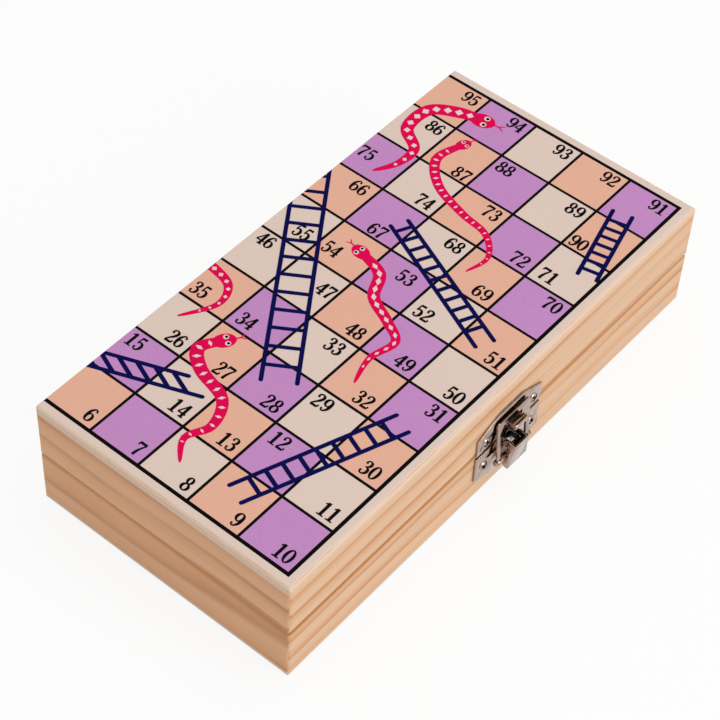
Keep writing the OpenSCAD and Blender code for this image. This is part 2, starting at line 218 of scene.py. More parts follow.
world = bpy.data.worlds.new("light_tent")
scene.world = world
world.use_nodes = True
tent = NodeSheet(world.node_tree)
lit, bright = (tent.add("ShaderNodeBackground", {"Color": WHITE, "Strength": strength})
               for strength in (SKY, 1.0))
use_surface(tent, tent.add("ShaderNodeMixShader", {
    0: seen_directly(tent), 1: lit, 2: bright}), "OUTPUT_WORLD")

sweep = new_material("floor_paint")
matt = sweep.add("ShaderNodeBsdfDiffuse", {"Color": srgb(245, 244, 242)})
glow = sweep.add("ShaderNodeEmission", {"Color": WHITE})
use_surface(sweep, sweep.add("ShaderNodeMixShader", {
    0: seen_directly(sweep) * FLOOR_WHITE_SHARE, 1: matt, 2: glow}))
level_sheet("floor", (0, 0, FLOOR_Z), FLOOR_SIDE, FLOOR_SIDE, sweep.material)
print("white world and a floor of", FLOOR_SIDE, "m")

# %% Lamps and a dark card
def softbox(name, place, side, power):
    lamp = bpy.data.lights.new(name, "AREA")
    lamp.shape, lamp.size, lamp.energy = "SQUARE", side, power
    stand = bpy.data.objects.new(name, lamp)
    stand.location = place
    stand.rotation_mode = "QUATERNION"
    stand.rotation_quaternion = Vector(place).to_track_quat("Z", "Y")
    scene.collection.objects.link(stand)


softbox("latch_side_box", place=(1.5, 0.1, 0.75), side=0.9, power=9.8)
softbox("overhead_box", place=(0.1, 0.3, 1.8), side=1.2, power=11.2)
dark = new_material("dark_card")
use_surface(dark, dark.add("ShaderNodeEmission", {"Color": srgb(9, 8, 8)}))
card = level_sheet("dark_card", (0.15, 0.75, 0.95), width=2.4, depth=1.4, material=dark.material)
card.visible_camera = card.visible_diffuse = False
card.visible_shadow = card.visible_transmission = False
print("two softboxes and a dark card made")

# %% [markdown]
# ## Finishes
# Every finish of the board starts from the Principled shader and varies its colour, roughness
# and relief by place. The place is read from Object coordinates, which stay with the piece when
# a joint moves it, so wood grain and plating never slide over a turning part.

# %% Helpers for finishes
BUMP_DEPTH = 0.3 * MM


def grey(share):
    return (share, share, share, 1)


NONE, FULL = grey(0), grey(1)


def new_finish(name, **constants):
    sheet = new_material(name)
    sheet.surface = sheet.tree.nodes["Principled BSDF"]
    sheet.place = sheet.add("ShaderNodeTexCoord", output="Object")
    for socket, value in constants.items():
        sheet.surface.inputs[socket.replace("_", " ")].default_value = value
    return sheet


def feed(sheet, colour, roughness, height, relief):
    normal = sheet.add("ShaderNodeBump", {
        "Strength": relief, "Distance": BUMP_DEPTH, "Height": height}, "Normal")
    for socket, value in (("Base Color", colour), ("Roughness", roughness), ("Normal", normal)):
        sheet.tree.links.new(value.socket, sheet.surface.inputs[socket])
    return sheet.material


def split(sheet, place):
    x = sheet.add("ShaderNodeSeparateXYZ", {0: place}, output="X")
    return x, x.other("Y"), x.other("Z")


def join(sheet, x, y, z):
    return sheet.add("ShaderNodeCombineXYZ", {0: x, 1: y, 2: z})


def streaks(sheet, x, y, z, detail, seed):
    """Noise on stretched coordinates, for fibres and scratches."""
    return sheet.noise(join(sheet, x, y, z), scale=1.0, detail=detail, seed=seed)


print("finish helpers ready")

# %% [markdown]
# ## Pine
# The rails are sawn from pine. A picture of wood would stretch and repeat, while rings measured
# from the heart of a log run through the solid: each rail gets its own heart, so its face shows
# its own bands. Fine fibres, stretched along the rail, break up the bands and catch the light.
# Where the two trays meet, the seam is painted as shade: along the front a golden line that
# fades towards the far end, and on the short ends only a thin one.

# %% Pine finish
END_MARKS, FRONT_MARKS = (0.0, 0.30, 0.66, 0.84), (0.0, 0.36, 0.74, 0.90)
# The ends and the front are one pine in different tones: the end rails, facing away from the
# latch-side lamp, get deeper, warmer tones as painted shade, and the base's end has tones of its
# own.
WOODS = {
    "lid_end": {"ring": 7.5, "marks": END_MARKS,
                "pale": (230, 175, 128), "tan": (218, 155, 103), "deep": (190, 124, 72)},
    "base_end": {"ring": 6.0, "marks": END_MARKS,
                 "pale": (231, 175, 127), "tan": (221, 158, 104), "deep": (195, 129, 76)},
    "front": {"ring": 7.5, "marks": FRONT_MARKS,
              "pale": (223, 183, 146), "tan": (215, 162, 113), "deep": (197, 127, 66)},
}
RING_SWAY = 2.4
PALE_SHARE, FIBRE_SHARE = 0.80, 0.32
SEAM_SHADE = srgb(184, 116, 22)
GROOVE = 1.6 * MM
END_SPREAD, FRONT_SPREAD = 0.20, 0.95
END_SEAM_SHADE, FRONT_SEAM_SHADE, SEAM_SHADE_FADING = 0.80, 0.75, 2.0
UNDERSIDE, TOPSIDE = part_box("base_panel")[0].z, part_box("lid_panel")[1].z
MIDDLE = (UNDERSIDE + TOPSIDE) / 2


def pine(name, wood, along_x, outer, heart, seed):
    """Pine for a rail along x or y; heart is the log's middle, across the rail and in height."""
    sheet = new_finish(name)
    pale, tan, deep = (srgb(*wood[shade]) for shade in ("pale", "tan", "deep"))
    x, y, z = split(sheet, sheet.place)
    run, across = (x, y) if along_x else (y, x)
    sway = streaks(sheet, run * 5, across * 14, z * 14, detail=2.0, seed=seed)
    d, h = across - heart[0], z - heart[1]
    rings = ((d * d + h * h) ** 0.5) / (wood["ring"] * MM) + sway * RING_SWAY
    stops = [*zip(wood["marks"], (pale, pale, tan, deep)), (1.0, pale)]
    bands = sheet.ramp(rings.math("FRACT", rings), *stops)
    fibre = streaks(sheet, run * 25, across * 1100, z * 1100, detail=3.0, seed=seed)
    flush = streaks(sheet, run * 6, rings * 0.7, 0.0, detail=2.0, seed=seed + 7)
    colour = sheet.mix(sheet.ramp(flush, (0.40, NONE), (0.62, grey(PALE_SHARE))), bands, pale)
    colour = sheet.mix(sheet.ramp(fibre, (0.45, NONE), (0.85, grey(FIBRE_SHARE))), colour, deep)
    if along_x:
        spread, amount = END_SPREAD, END_SEAM_SHADE
    else:
        spread, amount = FRONT_SPREAD, FRONT_SEAM_SHADE - run * SEAM_SHADE_FADING
    # The golden line along the seam is painted shade; on the front it fades towards the far end.
    groove = sheet.ramp(abs(z - MIDDLE) / GROOVE, (spread * 0.5, FULL), (spread, NONE))
    colour = sheet.mix(groove * (abs(across - outer) < GROOVE) * amount, colour, SEAM_SHADE)
    return feed(sheet, colour, fibre * 0.2 + 0.38, fibre, relief=0.12)


print("woods:", ", ".join(WOODS))

# %% Rails
def finish_node(name, material):
    mesh = nodes[name].data
    mesh.materials.clear()
    mesh.materials.append(material)


HEART_IN, HEART_IN_STEP = 22, 9
HEART_UP, HEART_UP_IN_BASE, HEART_DOWN_STEP = 12, 27, 6
for number, half in enumerate(("lid", "base")):
    for turn, rail in enumerate(("latch", "fold", "near", "far")):
        node = f"{half}_{rail}_rail"
        low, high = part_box(node)
        along_x = rail in ("near", "far")
        outer = {"latch": high.x, "fold": low.x, "near": low.y, "far": high.y}[rail]
        outwards = 1 if outer > 0 else -1
        heart = (outer - outwards * (HEART_IN + HEART_IN_STEP * turn) * MM,
                 (HEART_UP + HEART_UP_IN_BASE * number - HEART_DOWN_STEP * turn) * MM)
        wood = WOODS[half + "_end" if along_x else "front"]
        seed = 3.0 * turn + 17.0 * number
        finish_node(node, pine(node + "_pine", wood, along_x, outer, heart, seed))
print("pine on 8 rails")

# %% [markdown]
# ## Panels
# A panel is thin plywood with a cream coat on its outer face, and its rounded edge shows the
# veneers and the glue line between them. The depth under the outer face tells the two apart:
# it is the same sum for the lid and the base, because one is the other turned over. Along the
# long edges the middle veneer shows its long grain, which is tanner than its cut ends.

# %% Plywood finish
CREAM, CREAM_CLOUD = srgb(226, 204, 190), srgb(222, 194, 182)
VENEER, MIDDLE_VENEER, FIBRE = srgb(228, 203, 182), srgb(224, 196, 172), srgb(218, 168, 124)
GLUE, JOINT, LONG_GRAIN = srgb(226, 162, 104), srgb(186, 160, 138), srgb(224, 186, 150)
COAT_DEPTH = 0.06 * MM
LONG_EDGE = 2 * MM
PLY_LOW, PLY_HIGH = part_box("lid_panel")
PLY_T = PLY_HIGH.z - PLY_LOW.z


def plywood():
    sheet = new_finish("printed_plywood")
    x, y, z = split(sheet, sheet.place)
    depth = MIDDLE - abs(z - MIDDLE)
    share = depth / PLY_T
    fibre = streaks(sheet, x * 900, y * 22, z * 900, detail=3.0, seed=5.0)
    cloud = sheet.noise(sheet.place, scale=45.0, detail=2.0, seed=2.0)
    plies = sheet.ramp(share, (0.0, VENEER), (0.55, MIDDLE_VENEER), (0.60, VENEER), (0.945, VENEER),
                       (0.955, JOINT), (0.975, JOINT), (0.99, VENEER))
    seam = sheet.ramp(share, (0.05, NONE), (0.065, FULL), (0.095, FULL), (0.12, NONE))
    blotch = sheet.noise(sheet.place, scale=90.0, detail=2.0, seed=4.0)
    patchy = sheet.ramp(blotch, (0.42, NONE), (0.62, FULL))
    plies = sheet.mix(seam * patchy * 0.8, plies, GLUE)
    long_edge = (x < PLY_LOW.x + LONG_EDGE) + (x > PLY_HIGH.x - LONG_EDGE)
    under = sheet.ramp(share, (0.20, NONE), (0.42, FULL), (0.93, FULL), (0.96, NONE))
    plies = sheet.mix(long_edge * under * 0.85, plies, LONG_GRAIN)
    plies = sheet.mix(fibre * 0.20, plies, FIBRE)
    coat = sheet.mix(cloud * 0.35, CREAM, CREAM_CLOUD)
    colour = sheet.mix(depth < COAT_DEPTH, plies, coat)
    return feed(sheet, colour, fibre * 0.15 + 0.42, fibre, relief=0.05)


ply = plywood()
for node in ("lid_panel", "base_panel"):
    finish_node(node, ply)
print("plywood", round(PLY_T / MM, 2), "mm thick on 2 panels")

# %% [markdown]
# ## Metal
# The latch is stamped from sheet steel and nickel plated, and the hinges are plainer plated
# steel. Plating is never even: the roughness drifts in clouds, and fine scratches run across
# it. A metal's colour comes from what it mirrors; the nickel's warm grey is browned a little as
# painted reflection of wood. Inward faces carry an attribute: painted shade and more roughness.

# %% Nickel and hinge steel
# Colour of the painted shade on faces that look inwards and in the screw crosses.
INWARD_SHADE = srgb(26, 21, 19)
STAIN_SHARE, SHADED_FACE_ROUGHNESS = 0.7, 0.2


def plated(name, colour, stain, roughness, shade_share=0.0):
    sheet = new_finish(name, Metallic=1.0)
    x, y, z = split(sheet, sheet.place)
    cloud = sheet.noise(sheet.place, scale=260.0, detail=3.0, seed=1.0)
    scratch = streaks(sheet, x * 900, y * 900, z * 5000, detail=2.0, seed=4.0)
    stained = sheet.ramp(cloud, (0.42, NONE), (0.72, grey(STAIN_SHARE)))
    mark = sheet.add("ShaderNodeAttribute", output="Fac", attribute_name="unpolished")
    unpolished = mark * shade_share
    # Marked faces are painted dark as shade, and they are made rougher.
    tone = sheet.mix(unpolished, sheet.mix(stained, colour, stain), INWARD_SHADE)
    rough = cloud * 0.10 + scratch * 0.06 + unpolished * SHADED_FACE_ROUGHNESS + roughness
    return feed(sheet, tone, rough, scratch, relief=0.02)


# The nickel's brownish grey is partly its own warm tint and partly painted reflection of the wood
# round it.
nickel = plated("nickel", srgb(180, 158, 146), srgb(140, 118, 106), roughness=0.06, shade_share=1.0)
hinge_steel = plated("hinge_steel", srgb(190, 186, 180), srgb(150, 144, 138), roughness=0.22)
hinge_nodes = [name for name in nodes if name.startswith("hinge_")]
for node in hinge_nodes:
    finish_node(node, hinge_steel)
print("hinge steel on", len(hinge_nodes), "nodes")

# %% [markdown]
# ## Softened latch
# Stamped sheet has no razor edges: the press rolls one side and tumbling blunts the rest, and
# that narrow rim is what glints. The CAD solids keep sharp edges, so each latch piece is shown
# by a copy with a small bevel. The copy's loose triangles are merged and its flat faces joined
# first, so that the bevel finds whole edges.

# %% Bevelled copies of the latch pieces
SHARP, FLAT = math.radians(40), math.radians(1)
WELD = 0.001 * MM
LATCH_Y = sum(corner.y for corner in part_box("keeper_plate")) / 2
FACES_BOX, FACES_MIDDLE = -0.3, -0.5


def new_piece(name, mesh, body):
    piece = bpy.data.objects.new(name, mesh)
    scene.collection.objects.link(piece)
    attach(piece, body)
    return piece


def new_mesh(name, shape, material):
    mesh = bpy.data.meshes.new(name)
    shape.to_mesh(mesh)
    shape.free()
    mesh.materials.append(material)
    return mesh


def latch_piece(node, body, shape):
    """Shows a node of the latch by a smooth nickel piece, and returns its mesh."""
    for face in shape.faces:
        face.smooth = True
    mesh = new_mesh(node + "_soft", shape, nickel)
    mesh.set_sharp_from_angle(angle=SHARP)
    piece = new_piece(node + "_soft", mesh, body)
    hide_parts(node)
    return mesh


def mark_unpolished(mesh):
    """Marks for painted shade the faces that look inwards, at the box or at the latch's middle."""
    marks = mesh.attributes.new("unpolished", "FLOAT", "FACE")
    for face, mark in zip(mesh.polygons, marks.data):
        aside = face.center.y - LATCH_Y
        at_middle = face.normal.y * aside < FACES_MIDDLE * abs(aside)
        mark.value = float(face.normal.x < FACES_BOX or at_middle)


def softened(node, body, rim):
    shape = bmesh.new()
    shape.from_mesh(nodes[node].data)
    bmesh.ops.remove_doubles(shape, verts=shape.verts, dist=WELD)
    bmesh.ops.dissolve_limit(shape, angle_limit=FLAT, verts=shape.verts, edges=shape.edges)
    edges = [e for e in shape.edges if e.is_manifold and e.calc_face_angle() > SHARP]
    bmesh.ops.bevel(shape, geom=edges, offset=rim, segments=2, profile=0.5, affect="EDGES",
                    clamp_overlap=False)
    mesh = latch_piece(node, body, shape)
    mark_unpolished(mesh)
    print(node, "softened:", len(mesh.polygons), "faces")


SHEET_RIM, PIN_RIM = 0.15 * MM, 0.10 * MM
LATCH = {"keeper_plate": "lid", "lever_plate": "base", "lever_pin": "base", "lever": "lever",
         "bail_pin": "lever", "bail": "bail"}
for node, body in LATCH.items():
    softened(node, body, PIN_RIM if node.endswith("_pin") else SHEET_RIM)

# %% [markdown]
# ## Latch screws
# The screws have domed heads with a wide cross pressed into them, and the cross is painted dark
# as shade. A node tree could set copies of one screw, each turned to the angle at which it stopped
# when it was driven home. For four screws a function is enough: it builds a head as a fan of rings,
# lowers the points that fall inside the cross, and marks those faces for painted shade as it makes
# them.

# %% Screws with a pressed cross
HEAD_H, HEAD_GROWTH = 1.1 * MM, 1.12
SHANK_R, SHANK_L, SHANK_SIDES = 1.0 * MM, 7.0 * MM, 24
CROSS_W, CROSS_L, CROSS_DEPTH, CROSS_WALL = 1.15 * MM, 3.5 * MM, 0.75 * MM, 0.15 * MM
DARK_FROM = 0.3
RINGS, SPOKES = 24, 96


def in_cross(u, v, turn):
    """How far a point of the head lies inside the cross: 0 outside, 1 on its floor."""
    u, v = u * math.cos(turn) + v * math.sin(turn), v * math.cos(turn) - u * math.sin(turn)
    arm, reach = sorted((abs(u), abs(v)))
    inset = min(CROSS_W / 2 - arm, CROSS_L / 2 - reach) / CROSS_WALL
    return min(1.0, max(0.0, inset))


def add_screw(shape, dark, seat, rim, turn):
    dome = (rim * rim + HEAD_H * HEAD_H) / (2 * HEAD_H)
    points = {}
    for ring in range(RINGS + 1):
        for spoke in range(SPOKES if ring else 1):
            radius, angle = rim * ring / RINGS, math.tau * spoke / SPOKES
            u, v = radius * math.cos(angle), radius * math.sin(angle)
            lift = (dome * dome - radius * radius) ** 0.5 - (dome - HEAD_H)
            sunk = in_cross(u, v, turn)
            place = seat + Vector((lift - CROSS_DEPTH * sunk, u, v))
            points[ring, spoke] = (shape.verts.new(place), sunk)
    for ring in range(RINGS):
        for spoke in range(SPOKES):
            after = (spoke + 1) % SPOKES
            corners = [points[ring + 1, spoke], points[ring + 1, after]]
            corners += [points[ring, after], points[ring, spoke]] if ring else [points[0, 0]]
            face = shape.faces.new([vert for vert, sunk in corners])
            # Faces deep in the cross are marked for painted shade.
            face[dark] = float(max(sunk for vert, sunk in corners) > DARK_FROM)
    shape.faces.new([points[RINGS, spoke][0] for spoke in reversed(range(SPOKES))])
    along = Matrix.Rotation(math.pi / 2, 4, "Y")
    bmesh.ops.create_cone(shape, cap_ends=True, segments=SHANK_SIDES, radius1=SHANK_R,
                          radius2=SHANK_R, depth=SHANK_L,
                          matrix=Matrix.Translation(seat - Vector((SHANK_L / 2, 0, 0))) @ along)


print("screw head of", RINGS, "rings and", SPOKES, "spokes")

# %% Screws of the latch plates
def pressed_screws(node, body, turns):
    low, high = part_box(node)
    rim = (high.z - low.z) / 2
    shape = bmesh.new()
    dark = shape.faces.layers.float.new("unpolished")
    for aside, turn in zip((low.y + rim, high.y - rim), turns):
        seat = Vector((low.x + SHANK_L, aside, low.z + rim))
        add_screw(shape, dark, seat, rim * HEAD_GROWTH, math.radians(turn))
    bmesh.ops.recalc_face_normals(shape, faces=shape.faces)
    print(node, "pressed:", len(latch_piece(node, body, shape).polygons), "faces")


pressed_screws("keeper_screws", "lid", turns=(20, 38))
pressed_screws("lever_plate_screws", "base", turns=(50, 12))

# %% [markdown]
# ## Counters and die
# Inside wait four painted counters and a die. Paint on turned wood is thin, so the grain still
# shows as faint streaks and the rims wear pale. The die's pips are dents in the solid: a point
# in a dent lies inside the cube's flat faces and well inside its rounded corners, and a sum on
# its place finds it, so the pips need no separate pieces.

# %% Paint and die finishes
WORN_SHARE = 0.30
PIP_IN, PIP_REACH = 0.02 * MM, 1.41


def painted(name, colour):
    sheet = new_finish(name)
    x, y, z = split(sheet, sheet.place)
    streak = streaks(sheet, x * 60, y * 900, z * 900, detail=3.0, seed=6.0)
    worn = sheet.ramp(streak, (0.55, NONE), (0.85, grey(WORN_SHARE)))
    return feed(sheet, sheet.mix(worn, colour, VENEER), streak * 0.25 + 0.25, streak, relief=0.08)


PAINTS = {"red": (188, 30, 44), "blue": (32, 70, 160), "green": (36, 120, 62),
          "yellow": (236, 186, 40)}
for shade, chip in PAINTS.items():
    finish_node("counter_" + shade, painted(shade + "_paint", srgb(*chip)))


def die_finish():
    sheet = new_finish("ivory_wood")
    low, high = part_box("die")
    centre, half = (low + high) / 2, (high.x - low.x) / 2
    x, y, z = (abs(c - m) for c, m in zip(split(sheet, sheet.place), centre))
    reach = x.math("MAXIMUM", x.math("MAXIMUM", x, y), z)
    away = (x * x + y * y + z * z) ** 0.5
    pip = (reach < half - PIP_IN) * (away < half * PIP_REACH)
    fibre = streaks(sheet, x * 900, y * 900, z * 60, detail=3.0, seed=9.0)
    ivory = sheet.mix(fibre * 0.4, srgb(240, 228, 204), srgb(224, 204, 168))
    colour = sheet.mix(pip, ivory, srgb(28, 24, 26))
    return feed(sheet, colour, fibre * 0.2 + 0.3, fibre, relief=0.06)


finish_node("die", die_finish())
print("4 painted counters and a die")

# %% [markdown]
# ## Inks
# The field is screen printed in six opaque inks over the cream coat. Each ink gets a fine
# mottle, because the screen's mesh and the coat under it never let ink lie quite even.

# %% Ink finishes
def ink(name, chip, mottle):
    sheet = new_finish(name, Specular_IOR_Level=0.02)
    speck = sheet.noise(sheet.place, scale=900.0, detail=2.0, seed=3.0)
    cloud = sheet.noise(sheet.place, scale=70.0, detail=2.0, seed=8.0)
    light = srgb(*[c + (255 - c) * mottle for c in chip])
    dark = srgb(*[c * (1 - mottle) for c in chip])
    colour = sheet.mix(speck * 0.7 + cloud * 0.3, dark, light)
    return feed(sheet, colour, speck * 0.2 + 0.42, speck, relief=0.04)


CHIPS = {"peach": ((237, 180, 154), 0.06), "violet": ((201, 141, 200), 0.07),
         "black": ((9, 6, 8), 0.03), "navy": ((6, 8, 74), 0.04),
         "crimson": ((226, 5, 80), 0.03), "cream": ((240, 214, 208), 0.05)}
INKS = {shade: ink(shade + "_ink", *chip) for shade, chip in CHIPS.items()}
print("inks:", ", ".join(INKS))

# %% [markdown]
# ## Laying the print
# When the board is open its two panels lie side by side, so the field is drawn once, flat, with
# the fold as the line u = 0. Each film of ink is then cut at the fold: the right side goes on
# the lid, and the left side is turned over on the base, just as the hinge turns it.

# %% Board sheet, cut and placed on both panels
CELL = 23 * MM
ROWS = COLUMNS = 10
FIELD = CELL * ROWS
SINK = 0.02 * MM
LAYER = {"squares": 0.04, "row_lines": 0.055, "column_lines": 0.065, "numbers": 0.075,
         "snakes": 0.085, "marks": 0.10, "pupils": 0.11, "ladders": 0.12}
FOLD_X = frame["joints"][0]["pos_m"][0]
FOLD_MARGIN, CUT_WELD = 0.4 * MM, 1e-7
FOLD_TRIM = PLY_LOW.x - FOLD_X + FOLD_MARGIN
TO_LID = Matrix.Translation((FOLD_X, 0, TOPSIDE))
TO_BASE = Matrix.Translation((FOLD_X, 0, UNDERSIDE)) @ Matrix.Rotation(math.pi, 4, "Y")


def thickness(layer):
    """A film of ink reaches a little into the panel, so that no gap shows under it."""
    return LAYER[layer] * MM + SINK


def lay(name, mesh, layer):
    """Cuts a flat piece of the print at the fold and puts each side on its own panel."""
    lift = Matrix.Translation((0, 0, (LAYER[layer] * MM - SINK) / 2))
    made = []
    for body, side, place in (("lid", 1, TO_LID), ("base", -1, TO_BASE)):
        shape = bmesh.new()
        shape.from_mesh(mesh)
        bmesh.ops.bisect_plane(shape, geom=[*shape.verts, *shape.edges, *shape.faces],
                               dist=CUT_WELD, plane_co=(side * FOLD_TRIM, 0, 0),
                               plane_no=(-side, 0, 0), clear_outer=True)
        bmesh.ops.holes_fill(shape, edges=[e for e in shape.edges if e.is_boundary], sides=0)
        bmesh.ops.transform(shape, matrix=place @ lift, verts=shape.verts)
        bmesh.ops.recalc_face_normals(shape, faces=shape.faces)
        half = mesh.copy()
        shape.to_mesh(half)
        made.append((body, len(shape.faces)))
        shape.free()
        if made[-1][1]:
            new_piece(f"{body}_{name}", half, body)
    print(name, made)


def spot(u, v):
    """A place on the open board: u squares from the fold, v squares from the near end."""
    return Vector((u * CELL, (v - ROWS / 2) * CELL, 0))


print("field", round(FIELD / MM), "mm square, fold at", round(FOLD_X / MM, 2), "mm")

# %% [markdown]
# ## Growing what repeats
# Squares, lines, rungs and markings repeat, which is what Geometry Nodes are for. Array
# modifiers could do some of it, but a tree can also pick every third square or follow a curve.
# Each tree has named inputs, and what it grows becomes a plain mesh at once.

# %% Starting, ending and growing a tree
def new_tree(name, **inputs):
    """Starts a tree; for each kind of input there is a string with the inputs' labels."""
    tree = bpy.data.node_groups.new(name, "GeometryNodeTree")
    tree.interface.new_socket("Geometry", in_out="INPUT", socket_type="NodeSocketGeometry")
    for kind, labels in {**inputs, "Material": "Ink"}.items():
        for label in labels.split():
            tree.interface.new_socket(label, in_out="INPUT", socket_type="NodeSocket" + kind)
    tree.interface.new_socket("Geometry", in_out="OUTPUT", socket_type="NodeSocketGeometry")
    sheet = NodeSheet(tree)
    outputs = sheet.add("NodeGroupInput").socket.node.outputs
    return sheet, SimpleNamespace(**{s.name: Value(sheet, s) for s in outputs if s.name})


def end_tree(sheet, ink_input, *shapes):
    joined = sheet.add("GeometryNodeJoinGeometry")
    for shape in shapes:
        sheet.tree.links.new(shape.socket, joined.socket.node.inputs[0])
    real = sheet.add("GeometryNodeRealizeInstances", {0: joined})
    inked = sheet.add("GeometryNodeSetMaterial", {"Geometry": real, "Material": ink_input})
    sheet.add("NodeGroupOutput", {0: inked})
    return sheet.tree


def grow(tree, start=None, **inputs):
    """Runs a tree on an empty mesh, or on the given curve, and returns a plain mesh."""
    carrier = bpy.data.objects.new("carrier", start or bpy.data.meshes.new("seedbed"))
    scene.collection.objects.link(carrier)
    modifier = carrier.modifiers.new("growth", "NODES")
    modifier.node_group = tree
    sockets = {s.name: s.identifier for s in tree.interface.items_tree if s.in_out == "INPUT"}
    for label, value in inputs.items():
        modifier[sockets[label]] = value
    bpy.context.view_layer.update()
    grown = carrier.evaluated_get(bpy.context.evaluated_depsgraph_get())
    made = bpy.data.meshes.new_from_object(grown)
    carrier.modifiers.remove(modifier)
    bpy.data.objects.remove(carrier)
    return made


print("tree helpers ready")

# %% Points, copies and bars
def row_of_points(sheet, count):
    return sheet.add("GeometryNodeMeshLine", {"Count": count})


def moved(sheet, points, place):
    return sheet.add("GeometryNodeSetPosition", {"Geometry": points, "Position": place})


def copies(sheet, points, shape, **more):
    """A copy of a shape on each point; more sockets choose, turn or scale the copies."""
    return sheet.add("GeometryNodeInstanceOnPoints", {
        "Points": points, "Instance": shape, **more})


def between(sheet, share, first, last):
    return sheet.add("ShaderNodeMix", {0: share, 4: first, 5: last}, 1, data_type="VECTOR")


def turned_to(sheet, ahead):
    return sheet.add("FunctionNodeAlignRotationToVector", {"Vector": ahead}, axis="X")


def bars(sheet, points, first, last, width, height):
    """A flat bar on each point, reaching from one place to another."""
    across = sheet.add("ShaderNodeVectorMath", {0: last, 1: first}, operation="SUBTRACT")
    length = sheet.add("ShaderNodeVectorMath", {0: across}, "Value", operation="LENGTH")
    block = sheet.add("GeometryNodeMeshCube", {"Size": (1, 1, 1)})
    return copies(sheet, moved(sheet, points, between(sheet, 0.5, first, last)), block,
                  Rotation=turned_to(sheet, across), Scale=join(sheet, length, width, height))


print("bars ready")

# %% [markdown]
# ## Coloured squares
# Peach, violet and bare cream follow each other along every row and step by one from row to row,
# so the sum of column and row, divided by three, leaves the ink's number as its remainder. One
# square at the fold is left without its ink.

# %% Squares
BARE_SQUARE = (5, 4, 0)
COLOURS = 3
sheet, given = new_tree("inked_squares", Float="Cell Thickness", Int="Columns Rows Remainder",
                        Vector="Bare")
x, y, z = split(sheet, sheet.add("GeometryNodeInputPosition"))
column = x.math("ROUND", x / given.Cell + (given.Columns - 1) / 2)
row = y.math("ROUND", y / given.Cell + (given.Rows - 1) / 2)
inked = abs((column + row + 1) % COLOURS - given.Remainder) < 0.5
bare_column, bare_row, _ = split(sheet, given.Bare)
not_bare = (abs(column - bare_column) + abs(row - bare_row)) > 0.5
centres = sheet.add("GeometryNodeMeshGrid", {
    "Size X": (given.Columns - 1) * given.Cell, "Size Y": (given.Rows - 1) * given.Cell,
    "Vertices X": given.Columns, "Vertices Y": given.Rows})
tile = sheet.add("GeometryNodeMeshCube", {
    "Size": join(sheet, given.Cell, given.Cell, given.Thickness)})
square_tree = end_tree(sheet, given.Ink, copies(sheet, centres, tile, Selection=inked * not_bare))

for remainder, shade in enumerate(("peach", "violet")):
    squares = grow(square_tree, Cell=CELL, Columns=COLUMNS, Rows=ROWS, Remainder=remainder,
                   Bare=BARE_SQUARE, Thickness=thickness("squares"), Ink=INKS[shade])
    lay(shade + "_squares", squares, "squares")

# %% [markdown]
# ## Grid lines
# Black lines part the squares, and a broader one frames the field. They are bars on a row of
# points; the same tree draws both ways, and leaves out the line that would lie on the fold.

# %% Lines
LINE, FRAME_LINE = 1.15 * MM, 1.50 * MM
sheet, given = new_tree("ruled_lines", Int="Count Left_out",
                        Float="Step Length Width Frame Thickness")
index = sheet.add("GeometryNodeInputIndex")
at_end = (index < 0.5) + (index > given.Count - 1.5)
width = given.Width + at_end * (given.Frame - given.Width)
offset = (index - (given.Count - 1) / 2) * given.Step
first, last = (join(sheet, given.Length * share, offset, 0.0) for share in (-0.5, 0.5))
lines = bars(sheet, row_of_points(sheet, given.Count), first, last, width, given.Thickness)
shown = sheet.add("GeometryNodeDeleteGeometry", {
    "Geometry": lines, "Selection": abs(index - given.Left_out) < 0.5}, domain="INSTANCE")
line_tree = end_tree(sheet, given.Ink, shown)

for name, left_out, turn in (("row_lines", -1, 0), ("column_lines", COLUMNS // 2, math.pi / 2)):
    ruled = grow(line_tree, Count=ROWS + 1, Step=CELL, Length=FIELD + FRAME_LINE, Width=LINE,
                 Frame=FRAME_LINE, Left_out=left_out, Thickness=thickness(name),
                 Ink=INKS["black"])
    ruled.transform(Matrix.Rotation(turn, 4, "Z"))
    lay(name, ruled, name)

# %% [markdown]
# ## Ladders
# A ladder is two rails and a run of rungs between them. Its four ends are inputs, and each rung
# finds its place as a share of the way up both rails, so one tree draws every ladder. Places
# along rails and rungs are kept in a list, from which the numbers later learn where there is room.

# %% Ladder tree
RAIL_W, RUNG_W = 1.7 * MM, 1.7 * MM
RUNG_HEIGHT, DOT_HEIGHT, DOT_SIDES = 0.86, 0.93, 12
ENDS = "Foot_left Foot_right Head_left Head_right"
sheet, given = new_tree("ladder", Vector=ENDS, Int="Rungs",
                        Float="First Last Rail Rung Thickness")
index = sheet.add("GeometryNodeInputIndex")
foot = between(sheet, index, given.Foot_left, given.Foot_right)
head = between(sheet, index, given.Head_left, given.Head_right)
rails = bars(sheet, row_of_points(sheet, 2), foot, head, given.Rail, given.Thickness)
way = given.First + index * ((given.Last - given.First) / (given.Rungs - 1))
rungs = bars(sheet, row_of_points(sheet, given.Rungs),
             between(sheet, way, given.Foot_left, given.Head_left),
             between(sheet, way, given.Foot_right, given.Head_right),
             given.Rung, given.Thickness * RUNG_HEIGHT)
dot = sheet.add("GeometryNodeMeshCylinder", {
    "Vertices": DOT_SIDES, "Radius": given.Rail / 2, "Depth": given.Thickness * DOT_HEIGHT})
dots = [copies(sheet, moved(sheet, row_of_points(sheet, 2), end), dot) for end in (foot, head)]
ladder_tree = end_tree(sheet, given.Ink, rails, rungs, *dots)
print("ladder tree:", len(ladder_tree.nodes), "nodes")

